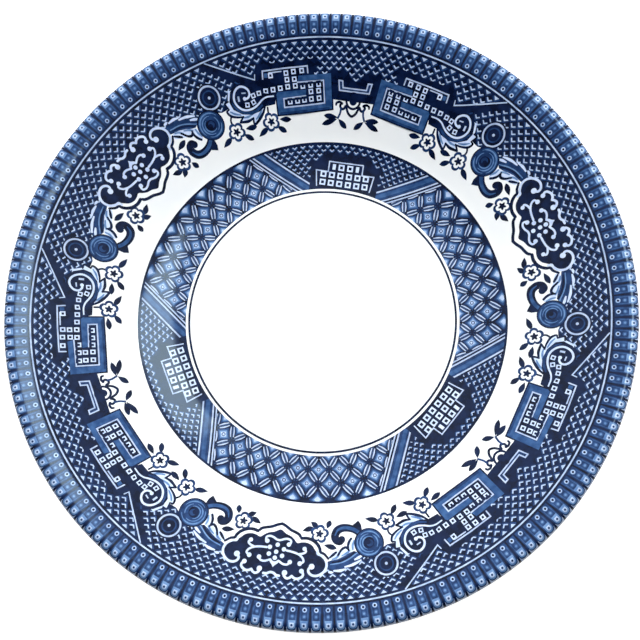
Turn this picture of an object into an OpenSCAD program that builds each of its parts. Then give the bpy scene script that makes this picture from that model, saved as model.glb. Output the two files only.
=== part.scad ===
// Blue and white china saucer: a thin jiggered body on a turned foot ring, a white glaze that
// covers it and stops short of the foot, and blue prints fired into the top of the glaze.

/* [Saucer] */
// Diameter over the glazed rim
saucer_d = 141; // [128:1:170]
// Thickness of the biscuit wall, the same from the well to the lip
wall_t = 3; // [2.4:0.1:4]
// Slope of the straight flank above the horizontal
flank_angle = 29; // [24:0.5:34]
// Radius of the curve between the flat well and the flank
cavetto_r = 31.5; // [26:0.5:36]
// Slope that is left at the lip, where the rim rolls over
rim_angle = 10; // [5:0.5:15]
// Width of the rolled rim in plan, from the white line to the edge
edge_w = 6; // [4.5:0.1:7]

/* [Foot] */
// How far the foot ring's outside stands beyond the flat of the well
foot_reach = 9; // [6:0.5:12]
// Width of the bare ring that the saucer stands on
foot_w = 2.4; // [1.8:0.1:3.5]
// Height of the foot ring under the floor
foot_h = 2.2; // [1.6:0.1:4]
// Widening of the foot ring on each side, from its bearing face to the wall
foot_flare = 1.2; // [0.6:0.1:2]
// Chamfer on the two edges of the bearing face
foot_chamfer = 0.4; // [0.2:0.05:0.6]
// Height of foot ring that the glaze leaves bare
bare_h = 0.8; // [0.6:0.1:1.2]

/* [Glaze and ink] */
// Thickness of the glaze over the bare biscuit
glaze_t = 0.25; // [0.2:0.01:0.4]
// Depth to which the printed ink sinks into the glaze
ink_t = 0.1; // [0.08:0.01:0.15]
// White left around each printed motif
reserve_w = 0.35; // [0.2:0.05:0.6]

/* [Printed bands] */
// White line between the ribbed edge and the border
edge_line_w = 0.45; // [0.3:0.05:0.8]
// Width of the border, from the white line in to the lowest blossom
border_w = 17.8; // [16:0.1:20]
// Depth of the trellis ground inside the white line
ground_w = 7; // [6.4:0.1:7.1]
// White margin between the border and the inner band
margin_w = 3.7; // [2.5:0.1:6]
// Width of the inner band
band_w = 11; // [9:0.1:13]
// White ring inside the inner band
well_ring_w = 0.75; // [0.5:0.05:1.2]
// Width of the thin line round the well
well_line_w = 0.3; // [0.2:0.05:0.5]
// Flat turned off between the thin line and the start of the curve
well_margin = 0.75; // [0.5:0.05:1.5]

/* [Cartouche] */
// Width of a cloud cartouche
cartouche_w = 23.4; // [18:0.2:25]
// Height of a cloud cartouche, along the radius
cartouche_h = 11.1; // [9:0.1:12]
// Depth of its top edge under the white line
cartouche_depth = 5.2; // [4:0.1:6]

/* [Fruit and ring medallion] */
// Diameter of a fruit
fruit_d = 6.2; // [5:0.1:7]
// Angle of a fruit from the cartouche's middle line
fruit_angle = 21.8; // [20:0.1:23]
// Depth of a fruit's centre under the white line
fruit_depth = 11.8; // [11:0.1:13]
// Outside diameter of the hooked stem
hook_d = 4.2; // [3.4:0.1:4.6]
// Width of the hooked stem
hook_w = 1.2; // [0.8:0.1:1.5]
// Angle of the hook's centre from the cartouche's middle line
hook_angle = 15; // [14:0.1:15.6]
// Depth of the hook's centre under the white line
hook_depth = 14.3; // [13.5:0.1:15]
// Diameter of a ring medallion
medallion_d = 5.4; // [4.4:0.1:6]
// Angle of a ring medallion from the cartouche's middle line
medallion_angle = 24.4; // [23:0.1:26]
// Depth of a ring medallion's centre under the white line
medallion_depth = 6.7; // [6:0.1:8]

/* [Blossoms] */
// Diameter of a blossom over its petals
blossom_d = 3.6; // [2.8:0.1:4]
// Depth of a blossom's centre under the white line
blossom_depth = 15.4; // [15:0.1:15.8]
// Angle of the blossom beside the cartouche from the cartouche's middle line
first_blossom_angle = 10; // [9:0.1:10.5]
// Angle of the blossom under the scroll
second_blossom_angle = 27.4; // [26.5:0.1:28.5]
// Angle of the blossom under the fret panel
third_blossom_angle = 37.4; // [36:0.1:38.5]
// Depth of the notch between two petals
petal_notch = 0.5; // [0.3:0.05:0.7]

/* [Fret panels] */
// Length of the blue fret panel
blue_panel_l = 12.8; // [11:0.1:14]
// Height of the blue fret panel
blue_panel_h = 7.7; // [6.5:0.1:8.5]
// Angle of the blue panel's centre from the link's middle line
blue_panel_angle = 12.3; // [11.8:0.1:12.8]
// Depth of the blue panel's centre under the white line
blue_panel_depth = 11.2; // [10.5:0.1:12]
// Length of the dark fret panel
dark_panel_l = 14.6; // [12:0.1:16]
// Height of the dark fret panel
dark_panel_h = 5.6; // [4.5:0.1:6.5]
// Angle of the dark panel's centre from the link's middle line
dark_panel_angle = 16.3; // [15.5:0.1:17]
// Depth of the dark panel's centre under the white line
dark_panel_depth = 7; // [6.5:0.1:8]
// Width of the link between two panels
link_w = 11.4; // [10:0.1:13]
// Height of the link
link_h = 5.9; // [5:0.1:7]
// Depth of the link's top under the white line
link_depth = 6.5; // [6:0.1:7.5]
// Width of the notch in the link's top
notch_w = 3.4; // [2.5:0.1:4.5]
// Depth of the notch
notch_h = 1.8; // [1.2:0.1:2.4]
// Thickness of the bar from the dark panel to the white line
bar_t = 1.7; // [1.2:0.1:2.2]
// Depth of the bar under the white line, on the link's middle line
bar_depth = 11.4; // [10.7:0.1:12.2]
// Diameter of the scroll at the end of a panel
scroll_d = 5.8; // [4.8:0.1:6.2]
// Angle of the scroll's centre from the link's middle line
scroll_angle = 28.1; // [27.5:0.1:28.7]
// Depth of the scroll's centre under the white line
scroll_depth = 8.9; // [8.4:0.1:9.5]

/* [Inner band] */
// Angle from the cartouche's middle line to the end of the coin lattice at the band's inner edge
lattice_angle = 39; // [35:0.5:42]
// Width of a stripe beside the lattice
stripe_w = 1.9; // [1.4:0.1:2.6]
// Width of a stepped fret at its foot
step_fret_w = 18.2; // [15:0.1:19]
// Width of the stepped fret's upper step
step_top_w = 12; // [9:0.1:14]
// Height of the lower step above the band's inner edge
step_low_h = 5.8; // [4.5:0.1:7]
// Height of the whole stepped fret above the band's inner edge
step_high_h = 8.2; // [7.2:0.1:9]

/* [Hidden] */

repeats = 3;
petals = 5;
petal_points = 4;
disc_sides = 12;
cavetto_steps = 8;
roll_steps = 4;
lip_steps = 10;

// Radii of the bands, from the rim in to the well
rim_r = saucer_d / 2;
line_r = rim_r - edge_w;
ground_r = line_r - edge_line_w / 2;
band_r = line_r - border_w - margin_w;
band_in_r = band_r - band_w;
well_line_r = band_in_r - well_ring_w;
well_r = well_line_r - well_line_w - well_margin;

// Distances of the lattice's end and of the stripe from the cartouche's middle line
lattice_half_w = band_in_r * sin(lattice_angle);
stripe_in = lattice_half_w + reserve_w;
stripe_out = stripe_in + stripe_w;

// Points of the biscuit face: end of the cavetto, start of the roll, lip centre, end of the roll
well_z = foot_h + wall_t;
lip_r = wall_t / 2;
cavetto_end = [well_r + cavetto_r * sin(flank_angle), well_z + cavetto_r * (1 - cos(flank_angle))];
roll_start = [line_r, cavetto_end[1] + (line_r - cavetto_end[0]) * tan(flank_angle)];
roll_end_r = rim_r - glaze_t - lip_r - lip_r * sin(rim_angle);
roll_r = (roll_end_r - line_r) / (sin(flank_angle) - sin(rim_angle));
roll_centre = [line_r + roll_r * sin(flank_angle), roll_start[1] - roll_r * cos(flank_angle)];
lip_centre = roll_centre + (roll_r - lip_r) * [-sin(rim_angle), cos(rim_angle)];
saucer_h = lip_centre[1] + lip_r + glaze_t;

// Radii of the foot ring
foot_r = well_r + foot_reach;
foot_in_r = foot_r - foot_w;

// Turn that points one cartouche to the front, -Y
cartouche_turn = 180;

// Lobes of the cloud outline: shares of the half width and height, and radius over the height
cloud_lobes = [[0.75, 0.62, 0.26], [0.4, 0.79, 0.21], [0.56, 0.42, 0.22], [0.28, 0.3, 0.195]];
// Right side of the cloud's middle, from above its tip to its top, in the same shares
cloud_side = [[0.35, 0.14], [0.75, 0.5], [0.4, 1]];

ink_dark = "#1b2a52";
ink_blue = "#3a5a95";

function arc(centre, r, from, to, steps) =
  [for (i = [0:steps]) let(a = from + (to - from) * i / steps) centre + r * [cos(a), sin(a)]];

// Face of the wall, moved outwards by rise, from the middle to the end of the roll
function face_line(rise) = concat(
  [[0, well_z + rise]],
  arc([well_r, well_z + cavetto_r], cavetto_r - rise, -90, flank_angle - 90, cavetto_steps),
  arc(roll_centre, roll_r + rise, flank_angle + 90, rim_angle + 90, roll_steps)
);

function reversed(points) = [for (i = [len(points) - 1:-1:0]) points[i]];

// Height of the wall's underside in the curve, at radius r
function under_z(r) = well_z + cavetto_r - sqrt(pow(cavetto_r + wall_t, 2) - pow(r - well_r, 2));

// Half section of the wall, with its skin moved outwards by grow
module wall_section(grow = 0) {
  lip = arc(lip_centre, lip_r + grow, rim_angle + 90, rim_angle - 90, lip_steps);
  polygon(concat(
    face_line(grow),
    [for (i = [1:lip_steps - 1]) lip[i]],
    reversed(face_line(-wall_t - grow))
  ));
}

// Half section of the foot ring, with its sides moved outwards by grow
module foot_section(grow = 0) {
  out_top = foot_r + foot_flare + grow;
  in_top = foot_in_r - foot_flare - grow;
  polygon([
    [foot_in_r + foot_chamfer - grow, 0],
    [foot_r - foot_chamfer + grow, 0],
    [foot_r + grow, foot_chamfer],
    [out_top, under_z(out_top) + wall_t / 2],
    [in_top, under_z(in_top) + wall_t / 2],
    [foot_in_r - grow, foot_chamfer]
  ]);
}

module body_solid() {
  rotate_extrude() wall_section();
  rotate_extrude() foot_section();
}

// All the glaze: the skin outside the biscuit, down to the bare foot
module glaze_skin() {
  difference() {
    union() {
      rotate_extrude() wall_section(glaze_t);
      rotate_extrude() foot_section(glaze_t);
    }
    body_solid();
    cylinder(r = rim_r, h = 2 * bare_h, center = true);
  }
}

// Room under the floor and inside the foot ring
module foot_well_room() {
  cylinder(r = foot_r - foot_w / 2, h = well_z - wall_t / 2);
}

// Layer on the face, between two heights above the biscuit, where the child outline lies in plan
module on_face(low, high) {
  intersection() {
    rotate_extrude() polygon(concat(face_line(high), reversed(face_line(low))));
    linear_extrude(2 * saucer_h) children();
  }
}

module printed(ink) {
  color(ink) on_face(glaze_t - ink_t, glaze_t) children();
}

// Room in the glaze for a print, open at the top
module pocket() {
  on_face(glaze_t - ink_t, glaze_t + ink_t) children();
}

// The pattern is drawn once, in a frame whose +Y runs out along a cartouche's middle line.
// A motif of the link's side is drawn right of the link and swung over to the cartouche's right.
module each_repeat() {
  for (i = [0:repeats - 1]) rotate(cartouche_turn + i * 360 / repeats) children();
}

module both_sides() {
  children();
  mirror([1, 0, 0]) children();
}

module from_link() {
  rotate(-180 / repeats) mirror([1, 0, 0]) children();
}

module at(angle, depth) {
  rotate(-angle) translate([0, ground_r - depth]) children();
}

// Small printed disc, with a flat-sided outline
module disc(r) {
  circle(r, $fn = disc_sides);
}

module annulus(out_r, in_r) {
  difference() {
    circle(out_r);
    circle(in_r);
  }
}

// Motifs in plan, each with its edge moved outwards by grow
module cartouche(grow = 0) {
  half = cartouche_w / 2;
  side = [for (share = cloud_side) [share[0] * half, share[1] * cartouche_h]];
  translate([0, ground_r - cartouche_depth - cartouche_h]) {
    both_sides() for (lobe = cloud_lobes)
      translate([lobe[0] * half, lobe[1] * cartouche_h]) disc(lobe[2] * cartouche_h + grow);
    polygon(concat([[0, -grow]], side, reversed([for (p = side) [-p[0], p[1]]])));
  }
}

module fruit(grow = 0) {
  at(fruit_angle, fruit_depth) disc(fruit_d / 2 + grow);
  at(hook_angle, hook_depth) difference() {
    disc(hook_d / 2 + grow);
    disc(hook_d / 2 - hook_w - grow);
    translate([hook_w / 2, hook_w / 2]) square(hook_d);
  }
}

module medallion(grow = 0) {
  at(medallion_angle, medallion_depth) disc(medallion_d / 2 + grow);
}

module scroll(grow = 0) {
  from_link() at(scroll_angle, scroll_depth) disc(scroll_d / 2 + grow);
}

module blossom() {
  points = petals * petal_points;
  polygon([
    for (i = [0:points - 1])
      let(a = 360 * i / points)
      (blossom_d - petal_notch * (1 - cos(petals * a))) / 2 * [sin(a), cos(a)]
  ]);
}

module blossoms() {
  for (angle = [first_blossom_angle, second_blossom_angle, third_blossom_angle])
    at(angle, blossom_depth) blossom();
}

module panel(angle, depth, length, height, grow) {
  from_link() at(angle, depth) square([length + 2 * grow, height + 2 * grow], center = true);
}

module blue_panel(grow = 0) {
  panel(blue_panel_angle, blue_panel_depth, blue_panel_l, blue_panel_h, grow);
}

module dark_panel(grow = 0) {
  panel(dark_panel_angle, dark_panel_depth, dark_panel_l, dark_panel_h, grow);
}

module panel_link(grow = 0) {
  from_link() translate([0, ground_r - link_depth]) difference() {
    translate([-link_w / 2 - grow, -link_h - grow]) square([link_w + 2 * grow, link_h + 2 * grow]);
    translate([-notch_w / 2 + grow, -notch_h + grow]) square([notch_w - 2 * grow, notch_h + grow]);
  }
}

// The bar leaves the dark panel square to the link's middle line and runs out to the white line
module panel_bar(grow = 0) {
  bar_x = (ground_r - dark_panel_depth) * sin(dark_panel_angle);
  from_link() translate([bar_x, ground_r - bar_depth - bar_t / 2 - grow])
    square([rim_r, bar_t + 2 * grow]);
}

// One step of the stepped fret, drawn from the saucer's centre out to the step's top
module step(width, height, grow) {
  translate([-width / 2 - grow, 0]) square([width + 2 * grow, band_in_r + height + grow]);
}

module step_fret(grow = 0) {
  from_link() {
    step(step_fret_w, step_low_h, grow);
    step(step_top_w, step_high_h, grow);
  }
}

// Part of the inner band within a distance of the cartouche's middle line
module beside_lattice(to) {
  translate([-to, 0]) square([2 * to, rim_r]);
}

// Outlines of the prints, cut back where a nearer motif lies over them
module cartouche_plan() {
  each_repeat() cartouche();
}

module fruit_plan() {
  each_repeat() both_sides() fruit();
}

module medallion_plan() {
  each_repeat() both_sides() difference() {
    medallion();
    fruit(reserve_w);
  }
}

module scroll_plan() {
  each_repeat() both_sides() difference() {
    scroll();
    medallion(reserve_w);
    dark_panel(reserve_w);
    blue_panel(reserve_w);
  }
}

module blossom_plan() {
  each_repeat() both_sides() difference() {
    blossoms();
    cartouche(reserve_w);
    fruit(reserve_w);
    scroll(reserve_w);
    blue_panel(reserve_w);
    circle(band_r + reserve_w);
  }
}

module blue_panel_plan() {
  each_repeat() both_sides() blue_panel();
}

module dark_panel_plan() {
  each_repeat() both_sides() difference() {
    dark_panel();
    blue_panel(reserve_w);
  }
}

module panel_link_plan() {
  each_repeat() difference() {
    panel_link();
    for (swing = [0, 360 / repeats])
      rotate(-swing) both_sides() {
        blue_panel(reserve_w);
        dark_panel(reserve_w);
      }
  }
}

module panel_bar_plan() {
  each_repeat() both_sides() difference() {
    intersection() {
      panel_bar();
      circle(ground_r);
    }
    dark_panel(reserve_w);
    blue_panel(reserve_w);
    scroll(reserve_w);
    medallion(reserve_w);
  }
}

module ground_plan() {
  difference() {
    annulus(ground_r, ground_r - ground_w);
    each_repeat() {
      cartouche(reserve_w);
      panel_link(reserve_w);
    }
    each_repeat() both_sides() {
      fruit(reserve_w);
      medallion(reserve_w);
      scroll(reserve_w);
      blue_panel(reserve_w);
      dark_panel(reserve_w);
      panel_bar(reserve_w);
    }
  }
}

module band_lattice_plan() {
  intersection() {
    annulus(band_r, band_in_r);
    each_repeat() beside_lattice(lattice_half_w);
  }
}

module band_stripe_plan() {
  intersection() {
    annulus(band_r, band_in_r);
    each_repeat() both_sides() translate([stripe_in, 0]) square([stripe_w, rim_r]);
  }
}

module band_fret_plan() {
  difference() {
    intersection() {
      annulus(band_r, band_in_r);
      each_repeat() step_fret();
    }
    each_repeat() beside_lattice(stripe_out + reserve_w);
  }
}

module band_trellis_plan() {
  difference() {
    annulus(band_r, band_in_r);
    each_repeat() {
      beside_lattice(stripe_out + reserve_w);
      step_fret(reserve_w);
    }
  }
}

module edge_plan() {
  annulus(roll_end_r, line_r + edge_line_w / 2);
}

module well_line_plan() {
  annulus(well_line_r, well_line_r - well_line_w);
}

// Sub-parts
module china_body() {
  color("ivory") body_solid();
}

// Glaze over face, rim and back, with a pocket in its top for every print
module face_glaze() {
  color("white") difference() {
    glaze_skin();
    foot_well_room();
    pocket() edge_plan();
    pocket() ground_plan();
    pocket() cartouche_plan();
    pocket() fruit_plan();
    pocket() medallion_plan();
    pocket() scroll_plan();
    pocket() blossom_plan();
    pocket() blue_panel_plan();
    pocket() dark_panel_plan();
    pocket() panel_link_plan();
    pocket() panel_bar_plan();
    pocket() band_lattice_plan();
    pocket() band_stripe_plan();
    pocket() band_fret_plan();
    pocket() band_trellis_plan();
    pocket() well_line_plan();
  }
}

// Glaze under the floor, inside the foot ring
module foot_well_glaze() {
  color("white") intersection() {
    glaze_skin();
    foot_well_room();
  }
}

module rim_edge_print() {
  printed(ink_blue) edge_plan();
}

module border_ground_print() {
  printed(ink_dark) ground_plan();
}

module cartouche_prints() {
  printed(ink_dark) cartouche_plan();
}

module fruit_prints() {
  printed(ink_blue) fruit_plan();
}

module ring_medallion_prints() {
  printed(ink_dark) medallion_plan();
}

module blossom_prints() {
  printed(ink_blue) blossom_plan();
}

module blue_panel_prints() {
  printed(ink_blue) blue_panel_plan();
}

module dark_panel_prints() {
  printed(ink_dark) dark_panel_plan();
}

module panel_link_prints() {
  printed(ink_dark) panel_link_plan();
}

module panel_bar_prints() {
  printed(ink_dark) panel_bar_plan();
}

module scroll_prints() {
  printed(ink_blue) scroll_plan();
}

module band_lattice_prints() {
  printed(ink_blue) band_lattice_plan();
}

module band_trellis_prints() {
  printed(ink_dark) band_trellis_plan();
}

module band_stripe_prints() {
  printed(ink_blue) band_stripe_plan();
}

module band_fret_prints() {
  printed(ink_dark) band_fret_plan();
}

module well_line_print() {
  printed(ink_blue) well_line_plan();
}

china_body();
face_glaze();
foot_well_glaze();
rim_edge_print();
border_ground_print();
cartouche_prints();
fruit_prints();
ring_medallion_prints();
blossom_prints();
blue_panel_prints();
dark_panel_prints();
panel_link_prints();
panel_bar_prints();
scroll_prints();
band_lattice_prints();
band_trellis_prints();
band_stripe_prints();
band_fret_prints();
well_line_print();
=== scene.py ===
import math

import bmesh
import bpy
import numpy as np
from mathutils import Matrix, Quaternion, Vector
from mathutils.geometry import delaunay_2d_cdt


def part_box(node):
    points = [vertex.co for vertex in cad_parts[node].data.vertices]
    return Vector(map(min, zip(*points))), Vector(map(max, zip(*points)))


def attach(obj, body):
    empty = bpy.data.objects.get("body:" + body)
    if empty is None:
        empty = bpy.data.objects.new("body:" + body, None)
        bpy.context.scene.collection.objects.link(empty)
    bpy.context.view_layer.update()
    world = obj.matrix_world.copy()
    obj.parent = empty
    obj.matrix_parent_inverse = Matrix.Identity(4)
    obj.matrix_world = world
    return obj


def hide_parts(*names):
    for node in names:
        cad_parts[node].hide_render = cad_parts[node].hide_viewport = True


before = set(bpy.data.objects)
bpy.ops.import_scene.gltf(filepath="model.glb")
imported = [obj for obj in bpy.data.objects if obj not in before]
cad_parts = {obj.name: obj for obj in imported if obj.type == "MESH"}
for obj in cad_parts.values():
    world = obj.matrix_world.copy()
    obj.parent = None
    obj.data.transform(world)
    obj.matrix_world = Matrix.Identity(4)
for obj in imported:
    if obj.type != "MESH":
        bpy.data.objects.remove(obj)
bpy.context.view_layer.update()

# China body: one jiggered saucer of white biscuit on a turned foot ring, fired before it is glazed.
# Only the ring that it stands on shows, wiped free of glaze so that it can't stick in the kiln.
mm = 0.001
biscuit_pale = (226, 219, 205)
biscuit_grit = (203, 192, 174)
biscuit_fleck = 0.5
biscuit_shine = (0.7, 0.85)
biscuit_grain = 0.25
biscuit_relief = 0.04


def pigment(shade):
    """Linear colour of a shade that is given as it is seen, in 256 steps."""
    seen = np.array(shade) / 255
    return (*np.where(seen < 0.04045, seen / 12.92, ((seen + 0.055) / 1.055) ** 2.4), 1)


def graded(tree, value, span, levels):
    """Value of a node tree with its span drawn out to a span of levels."""
    scale = tree.nodes.new("ShaderNodeMapRange")
    for socket, number in zip(("From Min", "From Max", "To Min", "To Max"), (*span, *levels)):
        scale.inputs[socket].default_value = number
    tree.links.new(value, scale.inputs["Value"])
    return scale.outputs["Result"]


def ceramic(name, deep, wash, spread, shine, grain, relief):
    """Fired surface: two shades mottled over the spread, a shine that varies, and a relief in that grain."""
    made = bpy.data.materials.new(name)
    made.use_nodes = True
    nodes, links = made.node_tree.nodes, made.node_tree.links
    shader = nodes["Principled BSDF"]
    place = nodes.new("ShaderNodeTexCoord")

    def cloud(size, detail):
        noise = nodes.new("ShaderNodeTexNoise")
        noise.inputs["Scale"].default_value = 1 / (size * mm)
        noise.inputs["Detail"].default_value = detail
        links.new(place.outputs["Object"], noise.inputs["Vector"])
        return noise.outputs["Fac"]

    mottle = cloud(spread, 6)
    colour = nodes.new("ShaderNodeValToRGB")
    for stop, position, shade in zip(colour.color_ramp.elements, (0.36, 0.64), (deep, wash)):
        stop.position = position
        stop.color = pigment(shade)
    links.new(mottle, colour.inputs["Fac"])
    links.new(colour.outputs["Color"], shader.inputs["Base Color"])
    links.new(graded(made.node_tree, mottle, (0.3, 0.7), shine), shader.inputs["Roughness"])
    bump = nodes.new("ShaderNodeBump")
    bump.inputs["Distance"].default_value = relief * mm
    links.new(cloud(grain, 3), bump.inputs["Height"])
    links.new(bump.outputs["Normal"], shader.inputs["Normal"])
    return made


biscuit = ceramic("bare_biscuit", biscuit_grit, biscuit_pale, biscuit_fleck, biscuit_shine, biscuit_grain,
                  biscuit_relief)
china_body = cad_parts["china_body"]
china_body.data.materials.clear()
china_body.data.materials.append(biscuit)

# Face glaze: a white glossy coat that covers the face, the lip and the back, down to the bare foot.
# The saucer is dipped in it and fired again, so it rounds every corner and pools against the foot.
glaze_white = (251, 251, 250)
glaze_pool = (247, 248, 249)
glaze_cloud = 9.0
glaze_shine = (0.05, 0.11)
glaze_grain = 2.6
glaze_relief = 0.012
wall_t = 3.0
glaze_t = 0.25
flank = 29.0
rim_slope = 10.0
cavetto_r = 31.5
well_r = 30.2
line_r = 64.5
rim_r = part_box("face_glaze")[1].x / mm
foot_r = 39.2
foot_w = 2.4
foot_h = 2.2
foot_flare = 1.2
foot_chamfer = 0.4
bare_h = 0.8
pool_reach = 1.4

well_z = foot_h + wall_t
lip_r = wall_t / 2
flank_sin, flank_cos = math.sin(math.radians(flank)), math.cos(math.radians(flank))
rim_sin, rim_cos = math.sin(math.radians(rim_slope)), math.cos(math.radians(rim_slope))
cavetto_end_r = well_r + cavetto_r * flank_sin
cavetto_end_z = well_z + cavetto_r * (1 - flank_cos)
line_z = cavetto_end_z + (line_r - cavetto_end_r) * flank_sin / flank_cos
roll_end_r = rim_r - glaze_t - lip_r - lip_r * rim_sin
roll_r = (roll_end_r - line_r) / (flank_sin - rim_sin)
cavetto_centre = (well_r, well_z + cavetto_r)
roll_centre = (line_r + roll_r * flank_sin, line_z - roll_r * flank_cos)
lip_centre = (roll_centre[0] - (roll_r - lip_r) * rim_sin, roll_centre[1] + (roll_r - lip_r) * rim_cos)


def arc(centre, radius, start, stop, steps):
    """Points along a part of a circle, between two angles in degrees."""
    turn = np.radians(np.linspace(start, stop, steps + 1))
    return np.c_[centre[0] + radius * np.cos(turn), centre[1] + radius * np.sin(turn)]


def face_line(rise):
    """Half section of the face, moved off the biscuit by the rise, from the flat of the well to the lip."""
    return np.vstack([
        [[well_r * share, well_z + rise] for share in (0.25, 0.5, 0.75)],
        arc(cavetto_centre, cavetto_r - rise, -90, flank - 90, 24),
        arc(roll_centre, roll_r + rise, flank + 90, rim_slope + 90, 12),
    ])


def under_z(r, grow):
    """Height of the back in the curve round the well."""
    return cavetto_centre[1] - math.sqrt((cavetto_r + wall_t + grow) ** 2 - (r - well_r) ** 2)


def foot_side(z, grow, outside):
    """Radius of the foot ring's outer or inner side at a height."""
    lean = foot_flare * (z - foot_chamfer) / foot_h
    return foot_r + grow + lean if outside else foot_r - foot_w - grow - lean


def foot_root(grow, outside):
    """Point where a side of the foot ring runs into the back."""
    z = foot_h
    for _ in range(12):
        z = under_z(foot_side(z, grow, outside), grow)
    return np.array([foot_side(z, grow, outside), z])


def eased(start, corner, stop, steps=6):
    """Round curve from start to stop that heads for the corner."""
    t = np.linspace(0, 1, steps + 1)[:, None]
    return (1 - t) ** 2 * np.array(start) + 2 * t * (1 - t) * np.array(corner) + t ** 2 * np.array(stop)


def foot_coat(outside):
    """Skin of the glaze from the back down one side of the foot to its bare edge, and back up the biscuit."""
    root = foot_root(glaze_t, outside)
    away = pool_reach if outside else -pool_reach
    out_r = root[0] + away
    low = foot_side(root[1] - pool_reach / 2, glaze_t, outside)
    edge_out = foot_side(bare_h, glaze_t, outside)
    edge_in = foot_side(bare_h, 0, outside)
    return np.vstack([
        eased((out_r, under_z(out_r, glaze_t)), root, (low, root[1] - pool_reach / 2)),
        eased((edge_out, bare_h + glaze_t), (edge_out, bare_h), (edge_in, bare_h)),
        foot_root(0, outside),
    ])


def spun(name, section, material, turns=360):
    """Solid turned about the middle line from a half section that starts and ends on it."""
    section = np.array(section)
    rings = section[1:-1]
    turn = 2 * math.pi * np.arange(turns) / turns
    around = np.c_[np.cos(turn), np.sin(turn)]
    sides = [np.c_[around * r, np.full(turns, z)] for r, z in rings]
    points = np.vstack([[[0, 0, section[0][1]], [0, 0, section[-1][1]]], *sides]) * mm
    faces = []
    after = (np.arange(turns) + 1) % turns
    for k in range(turns):
        faces.append((0, 2 + k, 2 + after[k]))
        last = 2 + (len(rings) - 1) * turns
        faces.append((1, last + after[k], last + k))
    for ring in range(len(rings) - 1):
        near = 2 + ring * turns
        far = near + turns
        faces += [(near + k, far + k, far + after[k], near + after[k]) for k in range(turns)]
    mesh = bpy.data.meshes.new(name)
    mesh.from_pydata(points.tolist(), [], faces)
    shape = bmesh.new()
    shape.from_mesh(mesh)
    bmesh.ops.recalc_face_normals(shape, faces=shape.faces)
    shape.to_mesh(mesh)
    shape.free()
    mesh.shade_smooth()
    mesh.set_sharp_from_angle(angle=math.radians(50))
    mesh.materials.append(material)
    piece = bpy.data.objects.new(name, mesh)
    bpy.context.scene.collection.objects.link(piece)
    return piece


glaze = ceramic("white_glaze", glaze_pool, glaze_white, glaze_cloud, glaze_shine, glaze_grain, glaze_relief)
coat = face_line(glaze_t)
back = face_line(-wall_t - glaze_t)[::-1]
biscuit_back = face_line(-wall_t)
foot_start = foot_root(glaze_t, True)[0] + pool_reach
face_section = np.vstack([
    [[0, well_z + glaze_t]],
    coat,
    arc(lip_centre, lip_r + glaze_t, rim_slope + 90, rim_slope - 90, 20)[1:-1],
    back[back[:, 0] > foot_start],
    foot_coat(True),
    biscuit_back[biscuit_back[:, 0] > foot_start],
    arc(lip_centre, lip_r, rim_slope - 90, rim_slope + 90, 20)[1:-1],
    face_line(0)[::-1],
    [[0, well_z]],
])
face_coat = spun("face_glaze_coat", face_section, glaze)
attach(face_coat, "root")
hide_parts("face_glaze")

# Foot well glaze: the same white coat inside the foot ring, on the underside of the floor.
# It is cut off from the rest by the bare ring, and pools in the corner against the foot.
inside_end = foot_root(glaze_t, False)[0] - pool_reach
floor_line = face_line(-wall_t - glaze_t)
biscuit_floor = face_line(-wall_t)[::-1]
well_section = np.vstack([
    [[0, well_z - wall_t - glaze_t]],
    floor_line[floor_line[:, 0] < inside_end],
    foot_coat(False),
    biscuit_floor[biscuit_floor[:, 0] < inside_end],
    [[0, well_z - wall_t]],
])
well_coat = spun("foot_well_glaze_coat", well_section, glaze)
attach(well_coat, "root")
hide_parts("foot_well_glaze")

# Ribbed edge: cobalt ink printed from an engraved plate on tissue and fired into the glaze.
# Its ribs stand side by side round the rim and over the lip, with a bead at the foot and an arched head.
# Tissue is laid by hand, so the border is turned and stretched a little and the band lies off the middle.
ink_lift = 0.02
ink_sink = 0.06
ink_shine = (0.09, 0.14)
ribs = 168
rib_pitch = 360 / ribs
rib_cover = 1.4
white_line_r = 64.37
rib_foot_r = 64.68
rib_bead_r = 65.85
rib_eye_r = 67.2
lip_start_r = 69.4
lip_end_r = 71.3
drift_r = 45.0
drift_mean, drift_swing, drift_way = -0.42, 0.54, 134.0
border_out, border_front, stretch_w = 0.05, 0.3, 5.0
band_shift = (0.3, 0)


def cobalt(name, deep, wash, spread=1.6):
    """Fired cobalt ink in two mottled shades, as smooth as the glaze that it lies in."""
    return ceramic(name, deep, wash, spread, ink_shine, glaze_grain, glaze_relief)


deep_ink = cobalt("deep_ink", (5, 14, 40), (14, 30, 66), 2.4)
half_ink = cobalt("half_ink", (19, 41, 80), (36, 66, 114))
blue_ink = cobalt("blue_ink", (34, 66, 114), (58, 94, 143))
light_ink = cobalt("light_ink", (80, 116, 166), (114, 148, 192))
tick_ink = cobalt("tick_ink", (158, 178, 212), (192, 208, 235))
pale_ink = cobalt("pale_ink", (160, 177, 210), (192, 205, 231))
taken = []


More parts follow.
